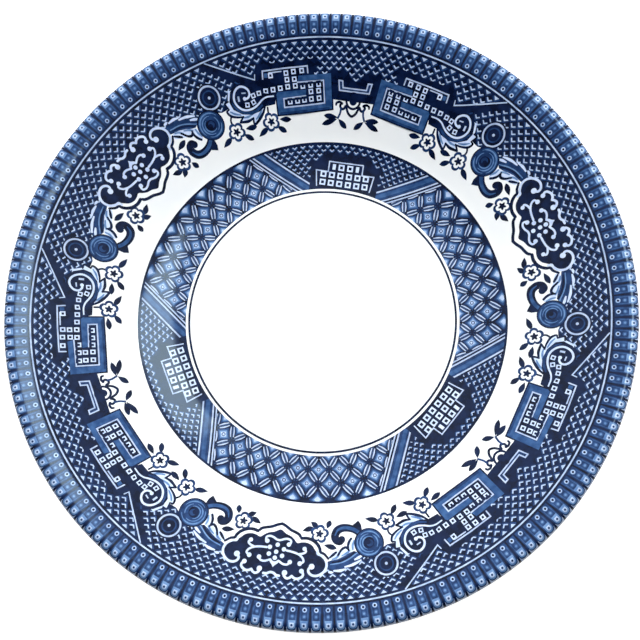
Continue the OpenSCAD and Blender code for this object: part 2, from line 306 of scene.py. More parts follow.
def face_at(reach):
    """Radius, height and slope of the glazed face, by plan radius and, over the lip, by distance along it."""
    reach = np.asarray(reach, float)
    radius = reach.copy()
    height = np.full(reach.shape, well_z + glaze_t)
    slope = np.zeros(reach.shape)
    curve_r = cavetto_r - glaze_t
    curve = (reach > well_r) & (reach <= well_r + curve_r * flank_sin)
    slope[curve] = np.arcsin((reach[curve] - well_r) / curve_r)
    height[curve] = cavetto_centre[1] - curve_r * np.cos(slope[curve])
    over_r = roll_r + glaze_t
    over_start = roll_centre[0] - over_r * flank_sin
    straight = (reach > well_r + curve_r * flank_sin) & (reach <= over_start)
    slope[straight] = math.radians(flank)
    over_z = roll_centre[1] + over_r * flank_cos
    height[straight] = over_z - (over_start - reach[straight]) * flank_sin / flank_cos
    edge_r = lip_r + glaze_t
    edge_start = lip_centre[0] - edge_r * rim_sin
    over = (reach > over_start) & (reach <= edge_start)
    slope[over] = np.arcsin((roll_centre[0] - reach[over]) / over_r)
    height[over] = roll_centre[1] + over_r * np.cos(slope[over])
    edge = reach > edge_start
    slope[edge] = math.radians(rim_slope) - (reach[edge] - edge_start) / edge_r
    radius[edge] = lip_centre[0] - edge_r * np.sin(slope[edge])
    height[edge] = lip_centre[1] + edge_r * np.cos(slope[edge])
    return radius, height, slope


def inside(points, outline):
    """Which points lie inside an outline that may cross itself."""
    found = np.zeros(len(points), int)
    low, high = outline.min(0), outline.max(0)
    near = np.nonzero(((points >= low) & (points <= high)).all(1))[0]
    if len(near) == 0:
        return found > 0
    x, y = points[near, 0, None], points[near, 1, None]
    a, b = outline, np.roll(outline, -1, 0)
    side = (b[:, 0] - a[:, 0]) * (y - a[:, 1]) - (x - a[:, 0]) * (b[:, 1] - a[:, 1])
    rising = (a[:, 1] <= y) & (b[:, 1] > y) & (side > 0)
    falling = (a[:, 1] > y) & (b[:, 1] <= y) & (side < 0)
    found[near] = rising.sum(1) - falling.sum(1)
    return found != 0


def print_film(node, art, wedge=60.0, mirrored=True, ring_step=1.5, within=()):
    """Inks the art, drawn in one wedge from a middle line along +Y, all round the saucer as one thin film.

    Later outlines of the art lie over earlier ones, and nothing is inked outside the limits that it is
    kept within. What other prints have taken is left to them."""
    art = [(np.array(outline, float), ink) for outline, ink in art]
    outlines = [outline for outline, _ in art]
    every = np.vstack(outlines)
    reach = np.hypot(every[:, 0], every[:, 1])
    low, high = reach.min() - 0.1, reach.max() + 0.1
    box_low, box_high = every.min(0), every.max(0)
    nearby = [t for t in taken if (t[0].max(0) > box_low).all() and (t[0].min(0) < box_high).all()]
    limits = {id(limit): limit for group in (within, *(t[1] for t in nearby)) for limit in group}
    points, edges = [], []

    def rule(line, closed):
        first = len(points)
        points.extend(Vector(p) for p in line)
        edges.extend((first + k, first + k + 1) for k in range(len(line) - 1))
        if closed:
            edges.append((first + len(line) - 1, first))

    for outline in outlines + [t[0] for t in nearby] + list(limits.values()):
        rule(outline, True)
    spokes = np.radians(np.linspace(0, wedge, max(1, round(wedge / 2)) + 1))
    for spoke in spokes:
        rule([(r * math.sin(spoke), r * math.cos(spoke)) for r in (low, high)], False)
    for r in np.arange(math.ceil(low / ring_step), high / ring_step) * ring_step:
        rule(np.c_[r * np.sin(spokes), r * np.cos(spokes)], False)
    flat, _, cells, *_ = delaunay_2d_cdt(points, edges, [], 0, 1e-6)
    flat = np.array([tuple(p) for p in flat])
    cells = np.array([c for c in cells if len(c) == 3])
    middle = flat[cells].mean(1)
    turn = np.degrees(np.arctan2(middle[:, 0], middle[:, 1]))
    inks = sorted({ink.name for _, ink in art if ink})
    tone = np.full(len(cells), -1)
    for outline, ink in art:
        tone[inside(middle, outline)] = inks.index(ink.name) if ink else -1
    within_limit = {key: inside(middle, limit) for key, limit in limits.items()}
    for outline, kept_in in nearby:
        found = inside(middle, outline)
        for limit in kept_in:
            found &= within_limit[id(limit)]
        tone[found] = -1
    for limit in within:
        tone[~within_limit[id(limit)]] = -1
    tone[(turn < 0) | (turn > wedge)] = -1
    cells, tone = cells[tone >= 0], tone[tone >= 0]
    taken.extend((outline, within) for outline in outlines)

    layers, layer_cells, layer_tone = [], [], []
    period = 2 * wedge if mirrored else wedge
    for copy in range(round(360 / period)):
        angle = math.pi + math.radians(copy * period)
        spin = np.array([[math.cos(angle), math.sin(angle)], [-math.sin(angle), math.cos(angle)]])
        for flip in ((1, -1) if mirrored else (1,)):
            first = sum(len(layer) for layer in layers)
            layers.append((flat * (flip, 1)) @ spin)
            layer_cells.append(cells[:, ::flip] + first)
            layer_tone.append(tone)
    plan, cells, tone = np.vstack(layers), np.vstack(layer_cells), np.hstack(layer_tone)
    used, cells = np.unique(cells, return_inverse=True)
    plan, cells = plan[used], cells.reshape(-1, 3)
    _, kept, same = np.unique(np.round(plan, 5), axis=0, return_index=True, return_inverse=True)
    plan, cells = plan[kept], same.reshape(-1)[cells]
    corner = plan[cells]
    cross = np.cross(corner[:, 1] - corner[:, 0], corner[:, 2] - corner[:, 0])
    cells[cross < 0] = cells[cross < 0][:, ::-1]
    whole = np.abs(cross) > 1e-7
    cells, tone = cells[whole], tone[whole]

    reach = np.hypot(plan[:, 0], plan[:, 1])
    turn = np.arctan2(plan[:, 1], plan[:, 0])
    lean = drift_mean + drift_swing * np.cos(turn - math.radians(drift_way))
    border = reach > drift_r
    turn += np.where(border, np.radians(lean), 0)
    give = np.clip((white_line_r - reach) / stretch_w, 0, 1) * (border_out - border_front * np.sin(turn))
    reach += np.where(border, give, 0)
    laid = np.c_[reach * np.cos(turn), reach * np.sin(turn)] + np.where(border[:, None], 0, band_shift)
    reach = np.hypot(laid[:, 0], laid[:, 1])
    out = laid / reach[:, None]
    radius, height, slope = face_at(reach)
    normal = np.c_[-out * np.sin(slope)[:, None], np.cos(slope)]
    surface = np.c_[out * radius[:, None], height]
    count = len(plan)
    solid = np.vstack([surface + ink_lift * normal, surface - ink_sink * normal]) * mm
    sides = np.vstack([cells[:, [0, 1]], cells[:, [1, 2]], cells[:, [2, 0]]])
    worn = np.tile(tone, 3)
    known = set(map(tuple, sides.tolist()))
    walls, wall_tone = [], []
    for (a, b), ink in zip(sides.tolist(), worn.tolist()):
        if (b, a) not in known:
            walls.append((b, a, a + count, b + count))
            wall_tone.append(ink)
    faces = cells.tolist() + (cells[:, ::-1] + count).tolist() + walls
    name = node.replace("print", "ink")
    mesh = bpy.data.meshes.new(name)
    mesh.from_pydata(solid.tolist(), [], faces)
    for ink in inks:
        mesh.materials.append(bpy.data.materials[ink])
    mesh.polygons.foreach_set("material_index", np.hstack([tone, tone, wall_tone]).astype(np.int32))
    mesh.shade_smooth()
    mesh.normals_split_custom_set_from_vertices(np.vstack([normal, -normal]).tolist())
    piece = bpy.data.objects.new(name, mesh)
    bpy.context.scene.collection.objects.link(piece)
    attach(piece, "root")
    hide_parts(node)


def bent(outline, angle):
    """Outline drawn as sideways and radial millimetres, bent round the saucer at an angle."""
    across, reach = np.array(outline, float).T
    turn = math.radians(angle) + across / reach
    return np.c_[reach * np.sin(turn), reach * np.cos(turn)]


def disc(x, y, r, sides=20):
    """Outline of a round dot."""
    turn = 2 * math.pi * np.arange(sides) / sides
    return np.c_[x + r * np.sin(turn), y + r * np.cos(turn)]


def block(left, low, right, high):
    """Outline of an upright oblong."""
    return np.array([(left, low), (right, low), (right, high), (left, high)], float)


rib = [
    (block(-rib_cover, white_line_r, rib_cover, rib_foot_r), tick_ink),
    (block(-rib_cover, rib_foot_r, rib_cover, 69.5), half_ink),
    (block(-rib_cover, rib_foot_r, rib_cover, 65.15), deep_ink),
    (block(-0.84, 66.1, -0.64, 68.4), blue_ink),
    (block(0.64, 66.1, 0.84, 68.4), blue_ink),
    (disc(0, rib_bead_r, 0.56, 10), light_ink),
    (disc(0, rib_bead_r, 0.44, 10), tick_ink),
    (disc(0, rib_bead_r, 0.28, 8), deep_ink),
    (disc(0, rib_eye_r, 0.5, 10), blue_ink),
    (disc(0, rib_eye_r, 0.26, 8), light_ink),
    (block(-rib_cover, lip_start_r, rib_cover, lip_end_r), pale_ink),
    (disc(0, lip_start_r, 1.0, 12), half_ink),
    (block(-0.76, 68.0, 0.76, 69.3), light_ink),
    (disc(0, 69.3, 0.76, 12), light_ink),
    (block(-0.46, 68.5, 0.46, 69.1), tick_ink),
    (disc(0, 69.1, 0.5, 10), tick_ink),
    (disc(0, 69.0, 0.26, 8), half_ink),
    (block(-1.6, rib_foot_r, -1.03, lip_end_r), deep_ink),
    (block(1.03, rib_foot_r, 1.6, lip_end_r), deep_ink),
]
rib_art = [(bent(outline, rib_pitch / 2), ink) for outline, ink in rib]
print_film("rim_edge_print", rib_art, wedge=rib_pitch, mirrored=False, ring_step=0.5)

# Cartouches: three dark clouds in the border, of the same fired ink and printed with it from one plate.
# A pale line edges each and curls in as hooks, and a sprig with seven berries stands in the middle.
cloud_line_w = 0.52
sprig_w = 0.45
berry_r = 0.48
skirt_w = 0.64
hem_w = (0.7, 0.7, 0.5)
faint_ink = cobalt("faint_ink", (192, 207, 238), (215, 227, 250))
bare = None


def smooth(points, steps=5):
    """Round line through the points."""
    p = np.array(points, float)
    p = np.vstack([2 * p[0] - p[1], p, 2 * p[-1] - p[-2]])
    t = np.arange(steps)[:, None] / steps
    spans = []
    for a, b, c, d in zip(p, p[1:], p[2:], p[3:]):
        spans.append(b + t * (c - a) / 2 + t ** 2 * (a - 2.5 * b + 2 * c - d / 2)
                     + t ** 3 * (1.5 * (b - c) + (d - a) / 2))
    return np.vstack([*spans, p[-2:-1]])


def stroke(points, width, curved=True):
    """Outline of a line of one width, or of widths spread along it, with round ends."""
    line = smooth(points) if curved else np.array(points, float)
    ahead = np.diff(line, axis=0)
    ahead /= np.linalg.norm(ahead, axis=1)[:, None]
    across = np.c_[-ahead[:, 1], ahead[:, 0]]
    before, after = np.vstack([across[:1], across]), np.vstack([across, across[-1:]])
    mitre = (before + after) / (1 + (before * after).sum(1))[:, None]
    given = np.linspace(0, 1, np.size(width))
    half = np.interp(np.linspace(0, 1, len(line)), given, np.atleast_1d(width)) / 2
    swing = np.radians([60, 30, 0, -30, -60])[:, None]
    end_cap = line[-1] + half[-1] * (np.cos(swing) * ahead[-1] + np.sin(swing) * across[-1])
    start_cap = line[0] - half[0] * (np.cos(swing) * ahead[0] + np.sin(swing) * across[0])
    side = mitre * half[:, None]
    return np.vstack([line + side, end_cap, (line - side)[::-1], start_cap])


cloud_top = [(-1, 58.3), (0, 58.2), (1.7, 58.7), (3.3, 58.8), (5.6, 58.8), (6.7, 58.0), (7.3, 57.2),
             (8.4, 57.4)]
cloud_side = [(9.6, 57.4), (10.9, 56.4), (11.1, 55.1), (10.5, 53.9), (9.2, 53.3), (8.3, 52.4), (7.4, 51.5)]
cloud_low = [(6.2, 51.1), (5.1, 51.2), (4.1, 51.5), (3.4, 50.9), (2.5, 50.3), (1.3, 49.9), (0, 49.2),
             (-1, 49.7)]
cloud_skirt = [(0, 47.9), (1.0, 48.3), (2.2, 48.95), (3.4, 49.3), (4.2, 49.65), (4.5, 50.0)]
cloud_hem = [(4.85, 50.35), (6.1, 50.15), (7.4, 50.4), (8.5, 51.05), (9.2, 51.9), (9.5, 52.6),
             (10.4, 52.9), (11.4, 53.7)]
hooks = [
    [(-0.6, 58.7), (0, 58.55), (0.5, 58.65), (1.0, 58.95), (1.7, 59.0)],
    [(2.75, 58.2), (2.75, 58.8), (3.4, 59.25), (4.0, 59.05), (4.4, 58.6)],
    [(4.4, 58.6), (5.0, 58.95), (5.8, 58.95), (6.6, 58.4), (6.7, 57.8), (6.3, 57.3)],
    [(8.15, 55.95), (7.65, 56.6), (7.85, 57.3), (8.7, 57.75), (9.8, 57.6), (10.9, 56.7), (11.35, 55.4),
     (10.9, 54.1), (9.8, 53.3), (9.0, 53.1), (8.8, 52.4)],
]
arms = [
    [(0.9, 55.95), (2.0, 56.45), (2.9, 56.4), (3.4, 55.9)],
    [(2.2, 53.5), (3.6, 53.6), (4.8, 53.85), (5.8, 54.4), (6.25, 55.2), (5.7, 55.75)],
    [(4.9, 53.85), (5.9, 53.5), (6.35, 53.0), (6.0, 52.55)],
    [(-0.4, 51.5), (0.3, 51.55), (1.2, 51.15), (2.0, 51.0), (2.7, 51.3), (2.7, 51.95), (2.4, 52.15)],
]
blobs = [(2.75, 58.2, 0.58), (6.25, 57.25, 0.5), (8.2, 55.95, 0.62), (3.38, 55.8, 0.48), (5.55, 55.75, 0.5),
         (5.95, 52.5, 0.46), (2.4, 52.15, 0.48)]
berries = [(0, 54.15), (0, 55.45), (0, 52.6), (1.45, 54.8), (1.55, 53.35)]
palmette = [(-0.45, 56.1), (-0.85, 56.5), (0, 57.45), (0.35, 56.95), (0.85, 56.5), (1.15, 55.95),
            (0.75, 55.75), (0.45, 56.1), (0, 56.25)]
cloud = smooth(cloud_top + cloud_side + cloud_low)
cartouche_art = [
    (np.vstack([cloud, [(-1, 54)]]), bare),
    (cloud_skirt + cloud_hem + [(9, 55), (0, 55)], bare),
    (np.vstack([cloud, [(-1, 54)]]), deep_ink),
    (stroke(cloud_skirt, skirt_w), deep_ink),
    (stroke(cloud_hem, hem_w), deep_ink),
]
cartouche_art += [(stroke(hook, cloud_line_w), faint_ink) for hook in hooks]
cartouche_art += [(stroke(arm, sprig_w), faint_ink) for arm in arms]
cartouche_art += [(disc(*blob), faint_ink) for blob in blobs]
cartouche_art += [(disc(x, y, berry_r), faint_ink) for x, y in berries]
cartouche_art.append((palmette, faint_ink))
print_film("cartouche_prints", cartouche_art)

# Fruit sprays: a round fruit on a hooked stem beside each cartouche, with a feathered leaf over it.
# They are fired ink, printed with the border.
# The engraver shaded the fruit in arcs round its eye, and left the leaf's feathers pale.
fruit_x, fruit_y = 19.5, 48.85
stem_line = [(17.4, 47.2), (15.6, 46.5), (13.7, 46.5), (12.35, 47.2), (11.9, 48.5), (12.3, 49.4),
             (13.1, 49.6), (13.5, 49.15)]
stem_w = (1.5, 1.6, 1.75, 1.85, 1.75, 1.75, 1.8, 1.6)
stem_light_w = (0.75, 0.75, 0.55, 0.2)
leaf_shade = [(11.5, 55.7), (13.0, 55.9), (15.3, 55.1), (17.5, 53.7), (18.8, 52.2), (18.4, 51.4),
              (16.6, 51.1), (14.6, 52.4), (12.6, 53.7), (11.4, 54.3)]
leaf_edges = [[(12.1, 56.5), (12.9, 56.4)], [(13.1, 56.0), (14.4, 55.75), (15.5, 55.2)],
              [(15.3, 54.8), (16.6, 54.2), (17.6, 53.5), (18.4, 52.8)],
              [(17.1, 52.9), (17.9, 52.3), (18.6, 51.6)]]
light_rib = [(12.1, 54.85), (14.2, 54.1), (15.7, 53.1), (16.9, 51.9), (17.5, 51.3)]
dark_rib = [(12.4, 54.35), (14.3, 53.6), (15.8, 52.5), (16.7, 51.4)]
leaf_lobes = [(11.3, 53.9), (12.3, 53.9), (13.5, 53.4), (14.9, 52.4), (16.0, 51.4), (16.6, 50.9),
              (16.6, 49.6), (16.0, 48.5), (15.2, 48.4), (14.8, 50.2), (13.2, 51.6), (12.2, 52.2),
              (11.4, 52.9)]
lobe_shades = [[(12.3, 53.7), (13.1, 53.2), (13.6, 52.3)], [(14.2, 52.6), (15.1, 51.9), (15.6, 51.2)],
               [(16.3, 50.9), (16.1, 50.0), (16.2, 49.0)]]
lobe_lines = [[(11.7, 53.4), (12.3, 52.7), (12.8, 52.1)],
              [(13.3, 52.7), (13.9, 51.3), (14.6, 50.7), (15.2, 50.9)],
              [(15.4, 51.2), (15.1, 50.2), (15.2, 49.3), (15.5, 48.6)]]
calyx = [(14.7, 46.7), (15.4, 45.5), (16.35, 44.4), (17.1, 45.2), (17.6, 46.6)]
fruit_rings = [(0, 0, 3.25, deep_ink), (0, 0, 2.95, half_ink), (-0.1, -0.1, 1.25, deep_ink),
               (0.2, 0, 0.75, half_ink), (-0.25, -0.15, 0.55, deep_ink)]
fruit_arcs = [(2.55, 10, 195, 0.62), (2.5, 215, 325, 0.5), (1.95, 50, 255, 0.5), (1.9, 285, 375, 0.4),
              (1.4, 95, 290, 0.4)]
fruit_art = [
    (leaf_shade, half_ink),
    (leaf_lobes, faint_ink),
    (stroke(dark_rib, (0.3, 0.6, 0.6, 0.4)), deep_ink),
    (stroke(light_rib, (0.22, 0.28, 0.22)), light_ink),
]
fruit_art += [(stroke(line, (0.35, 0.62, 0.3)), faint_ink) for line in leaf_edges]
fruit_art += [(stroke(line, (0.3, 0.5, 0.4)), light_ink) for line in lobe_shades]
fruit_art += [(stroke(line, (0.4, 0.6, 0.5)), deep_ink) for line in lobe_lines]
fruit_art += [
    (calyx, deep_ink),
    (stroke(stem_line, stem_w), deep_ink),
    (stroke(stem_line[:5], stem_light_w), blue_ink),
]
fruit_art += [(disc(fruit_x + x, fruit_y + y, r, 36), ink) for x, y, r, ink in fruit_rings]
for radius, start, stop, width in fruit_arcs:
    shine_line = arc((fruit_x, fruit_y), radius, start, stop, 14)
    fruit_art.append((stroke(shine_line, (0.12, width, width, 0.12), curved=False), blue_ink))
    fruit_art.append((stroke(shine_line, (0.08, 0.4 * width, 0.4 * width, 0.08), curved=False), light_ink))
print_film("fruit_prints", fruit_art)

# Ring medallions: a dark coin of fired ink above each fruit, printed with the border.
# A pale ring edges it, and a fainter one goes round the pale eye in its middle.
medallion_x, medallion_y = 23.85, 52.55
medallion_art = [
    (disc(medallion_x, medallion_y, 2.95, 40), deep_ink),
    (disc(medallion_x, medallion_y, 2.6, 40), pale_ink),
    (disc(medallion_x, medallion_y, 2.2, 36), deep_ink),
    (disc(medallion_x, medallion_y, 1.6, 28), half_ink),
    (disc(medallion_x, medallion_y, 1.3, 28), deep_ink),
    (disc(medallion_x, medallion_y, 0.32, 12), pale_ink),
]
print_film("ring_medallion_prints", medallion_art)


# Scrolls: the end of each panel's walkway rolls up in a pale line, and feathered leaves hang under it.
# They are fired ink, printed with the border, and drawn here from a link's middle line to be swung over.
def swung(art):
    """Art drawn from a link's middle line, moved into the wedge of the cartouche."""
    half, tall = math.cos(math.radians(60)), math.sin(math.radians(60))
    return [(outline @ np.array([[-half, tall], [tall, half]]), ink) for outline, ink in art]


def turned_block(x, y, wide, high, lean):
    """Leaning oblong round its middle."""
    turn = math.radians(lean)
    frame_turn = np.array([[math.cos(turn), math.sin(turn)], [-math.sin(turn), math.cos(turn)]])
    return block(-wide / 2, -high / 2, wide / 2, high / 2) @ frame_turn + (x, y)


panel_lean = -15.0
bead_w = 1.08
scroll_bead_w = 1.02
bead_eye = 0.48


def bead(x, y, lean=panel_lean, size=bead_w):
    """Square pale bead with a dark eye."""
    eye = size * bead_eye
    return [(turned_block(x, y, size, size, lean), faint_ink), (turned_block(x, y, eye, eye, lean), deep_ink)]


spiral = [(18.9, 50.4), (20.4, 49.95), (21.4, 49.2), (22.1, 48.2), (23.0, 47.2), (24.2, 46.45), (25.5, 46.2),
          (26.8, 46.6), (27.75, 47.5), (28.05, 48.7), (27.8, 49.9), (27.0, 50.75), (25.9, 50.9),
          (24.9, 50.45), (24.5, 49.6), (24.8, 48.85), (25.4, 48.5)]
spiral_w = (0.3, 0.42, 0.46, 0.46, 0.46)
scroll_ground = [(18.3, 50.9), (18.3, 48.8), (20.6, 47.9), (21.6, 46.7), (23.4, 45.6), (25.6, 45.2),
                 (27.8, 45.7), (28.9, 47.0), (29.0, 49.2), (28.2, 50.8), (26.8, 51.6), (25.0, 51.7),
                 (22.6, 51.5), (21.4, 50.6)]
scroll_shade = [(21.3, 48.0), (22.6, 46.5), (24.5, 45.75), (26.6, 45.85), (28.2, 46.9)]
feathers = [(20.6, 47.9), (20.9, 46.4), (21.7, 44.7), (22.5, 43.5), (23.0, 44.9), (24.1, 44.0), (25.9, 43.4),
            (25.4, 44.7), (26.7, 44.3), (28.2, 44.2), (29.3, 44.9), (28.9, 45.5), (30.0, 46.5), (29.3, 47.1),
            (29.5, 49.3), (28.2, 49.8), (25.0, 46.2), (21.5, 48.6)]
feather_lines = [
    ([(20.6, 47.9), (20.9, 46.4), (21.7, 44.7), (22.5, 43.55)], (0.4, 0.65, 0.5)),
    ([(22.5, 43.55), (22.85, 44.3), (23.0, 45.0)], (0.5, 0.4)),
    ([(23.0, 44.95), (24.1, 44.05), (25.85, 43.45)], (0.4, 0.65, 0.5)),
    ([(25.85, 43.45), (25.6, 44.2), (25.3, 44.8)], (0.5, 0.35)),
    ([(25.3, 44.75), (26.6, 44.35), (28.2, 44.25), (29.2, 44.9), (28.8, 45.5)], (0.35, 0.55, 0.35)),
    ([(28.8, 45.5), (29.9, 46.45), (29.2, 47.1)], (0.35, 0.5, 0.35)),
]
feather_shades = [([(21.3, 47.3), (21.6, 46.0), (22.3, 44.9)], (0.3, 0.6, 0.3)),
                  ([(23.2, 45.8), (24.2, 45.0), (25.1, 44.6)], (0.3, 0.5, 0.3)),
                  ([(26.0, 45.0), (27.3, 44.9), (28.4, 45.1)], (0.3, 0.45, 0.3))]
scroll_art = [(feathers, faint_ink)]
scroll_art += [(stroke(line, width), light_ink) for line, width in feather_shades]
scroll_art += [
    (scroll_ground, deep_ink),
    (stroke(scroll_shade, (0.4, 0.7, 0.6, 0.3)), half_ink),
]
scroll_art += [(stroke(line, width), deep_ink) for line, width in feather_lines]
scroll_art += [(stroke(spiral, spiral_w), faint_ink), (disc(25.5, 48.55, 0.4), faint_ink)]
for x, y, lean in ((22.35, 50.35, -20), (23.6, 49.6, -30), (23.35, 48.25, -40), (24.7, 47.4, -15)):
    scroll_art += bead(x, y, lean, scroll_bead_w)
scroll_art.append((turned_block(26.85, 48.2, 0.45, 1.1, -20), pale_ink))
scroll_art.append((turned_block(25.9, 49.65, 1.0, 0.28, -15), pale_ink))
print_film("scroll_prints", swung(scroll_art))

# Blue panels: a bevelled blue frame beside each link, printed with the border, with a pale line inside it.
# Rows of square beads stand in the dark between its arms, and a walkway of beads runs out of it.
panel_line = [(13.65, 54.2), (7.6, 55.5), (6.7, 50.95), (16.0, 48.55), (16.4, 50.3), (11.35, 51.75)]
panel_line_w = 0.3
panel_edge_w = 0.34
low_shade_w = 0.5
arm_shade_w = 0.22
panel_shape = [(5.95, 57.2), (13.8, 55.5), (13.5, 54.1), (18.4, 52.6), (18.35, 50.6), (17.3, 46.55),
               (4.55, 49.85)]
left_bevel = [(5.95, 57.2), (4.55, 49.85), (6.7, 50.95), (7.6, 55.5)]
low_bevel = [(4.55, 49.85), (17.3, 46.55), (16.0, 48.55), (6.7, 50.95)]
right_bevel = [(17.3, 46.55), (18.35, 50.6), (16.4, 50.3), (16.0, 48.55)]
middle_arm = [(18.35, 50.6), (18.0, 51.4), (11.4, 53.05), (11.35, 51.75), (16.4, 50.3)]
upper_arm = [(5.95, 57.2), (13.6, 55.55), (13.65, 54.2), (7.6, 55.5)]
full_beads = [(8.45, 53.25), (10.25, 52.8), (8.15, 51.75), (9.95, 51.3), (14.05, 53.4), (15.8, 52.9),
              (17.5, 52.3), (19.15, 51.7), (20.8, 51.1), (22.45, 50.45), (14.45, 54.7), (16.15, 54.3)]
low_beads = [(8.65, 54.55), (10.5, 54.1), (12.3, 53.6), (11.55, 50.85), (13.15, 50.4), (14.85, 49.95)]
walkway = [(13.4, 53.9), (18.4, 52.6), (22.7, 51.2), (23.1, 49.9), (22.2, 49.7), (18.4, 50.9), (13.6, 52.6)]
panel_art = [
    (panel_shape, deep_ink),
    (walkway, deep_ink),
    (left_bevel, blue_ink),
    (low_bevel, blue_ink),
    (stroke([(5.6, 50.0), (16.9, 47.1)], low_shade_w, curved=False), half_ink),
    (right_bevel, blue_ink),
    (middle_arm, blue_ink),
    (upper_arm, blue_ink),
    (stroke([(13.4, 54.45), (7.4, 55.75), (6.5, 50.75)], arm_shade_w, curved=False), half_ink),
    (stroke([(5.85, 57.1), (4.6, 49.9), (17.3, 46.6), (18.35, 50.6)], panel_edge_w, curved=False), deep_ink),
    (stroke(panel_line, panel_line_w, curved=False), pale_ink),
]
for x, y in full_beads:
    panel_art += bead(x, y)
for x, y in low_beads:
    panel_art += bead(x, y)
    panel_art.append((turned_block(x + 0.12, y + 0.45, bead_w + 0.1, 0.55, panel_lean), deep_ink))
print_film("blue_panel_prints", swung(panel_art))

# Dark panels: a panel of the darkest ink behind each blue one, printed with the border.
# A pale line edges it inside, and beads stand in a row under the line.
dark_shape = [(9.6, 59.8), (23.9, 56.0), (23.4, 51.8), (23.0, 49.8), (19.0, 50.4), (11.4, 52.9), (10.0, 56.0)]
dark_line = [(11.45, 56.5), (11.8, 57.85), (17.2, 56.5), (22.1, 55.0), (21.8, 53.4)]
dark_art = [
    (dark_shape, deep_ink),
    (stroke(dark_line, panel_line_w, curved=False), pale_ink),
    (stroke([(17.75, 55.75), (20.5, 54.95)], 0.26, curved=False), pale_ink),
    (turned_block(21.2, 54.25, 0.8, 0.9, panel_lean), blue_ink),
]
for x, y in [(12.95, 56.7), (14.85, 56.2), (16.55, 55.6), (20.1, 54.45)]:
    dark_art += bead(x, y)
print_film("dark_panel_prints", swung(dark_art))

# Links: a dark notched block that ties two panels together, printed with the border, with a pale bracket.
# A lotus hangs under it over the bare glaze, and a sprig of three pointed leaves stands on either side.
link_shape = [(-1, 56.2), (1.7, 56.2), (1.7, 57.9), (6.0, 57.9), (6.0, 55), (4.9, 51.95), (-1, 51.95)]
bracket = [(-1, 54.6), (2.8, 54.6), (3.05, 55.95), (3.95, 55.95), (3.55, 53.98), (-1, 53.98)]
bracket_w = 0.3
lotus_w = 0.54
lotus_hook_w = (0.6, 0.5, 0.45)
lotus_stem_w = 0.46
leaf_w = 1.2


def leaf(x0, y0, x1, y1):
    """Pointed leaf, broadest past its middle."""
    along = np.array([x1 - x0, y1 - y0])
    across = np.array([-along[1], along[0]]) / np.linalg.norm(along)
    t = np.linspace(0, 1, 9)[:, None]
    bulge = leaf_w / 2 * np.sin(math.pi * t ** 1.25) ** 0.8 * across
    spine = np.array([x0, y0]) + t * along
    return np.vstack([spine + bulge, (spine - bulge)[-2:0:-1]])


lotus_line = [(-1, 49.55), (0, 48.95), (0.9, 49.55), (1.35, 50.45), (1.65, 50.9), (2.0, 50.35),
              (2.5, 50.25), (2.95, 50.8), (2.75, 51.4)]
lotus_hook = [(2.6, 51.35), (3.2, 51.6), (3.85, 51.35), (3.95, 50.95)]
lotus_stem = [(2.7, 50.4), (2.75, 49.4), (3.15, 48.3)]
link_art = [
    (link_shape, deep_ink),
    (bracket, half_ink),
    (stroke(bracket, bracket_w, curved=False), pale_ink),
    (block(-1, 48.4, 4.9, 51.95), bare),
    (disc(0, 52.1, 1.85, 28), deep_ink),
    (disc(0, 52.1, 1.35, 24), bare),
    (disc(0, 52.1, 0.9, 20), deep_ink),
    (block(-1, 51.95, 4.9, 53.6), deep_ink),
    (stroke(lotus_line, lotus_w), deep_ink),
    (stroke(lotus_hook, lotus_hook_w), deep_ink),
    (stroke(lotus_stem, lotus_stem_w), half_ink),
    (leaf(3.15, 48.35, 6.6, 48.4), deep_ink),
    (leaf(3.25, 48.1, 6.8, 46.45), deep_ink),
    (leaf(3.05, 48.1, 0.85, 46.3), deep_ink),
]
print_film("panel_link_prints", swung(link_art))

# Bars: a dark beam of fired ink from each dark panel out to the white line, printed with the border.
# A pale line runs along its upper edge and bends at the panel.
bar_line_w = 0.28
bar_shape = [(22.6, 51.4), (36.2, 52.0), (35.5, 53.6), (23.6, 53.2)]
bar_line = [(23.75, 53.9), (23.6, 52.9), (35.3, 53.6)]
bar_art = [
    (bar_shape, deep_ink),
    (stroke(bar_line, bar_line_w, curved=False), tick_ink),
]
print_film("panel_bar_prints", swung(bar_art))

# Blossoms: small flowers of five petals on thin stems in the margin, outlined in ink with the border.
# Their petals are bare white glaze, and dark pointed leaves spread from each stem.
blossom_r = 1.5
blossom_line = 0.58
blossom_step = 9
stem_line_w = 0.42


def blossom(x, y, turn):
    """Five petals round a dark star."""
    steps = np.arange(0, 360, blossom_step)
    angle = np.radians(steps + turn)
    lobe = np.abs(np.cos(2.5 * np.radians(steps)))
    way = np.c_[np.sin(angle), np.cos(angle)]
    petals = blossom_r * (0.66 + 0.34 * lobe ** 0.7)
    star = 0.5 + 0.42 * lobe ** 2
    return [
        ((petals + blossom_line)[:, None] * way + (x, y), half_ink),
        (petals[:, None] * way + (x, y), bare),
        (star[:, None] * way + (x, y), deep_ink),
    ]


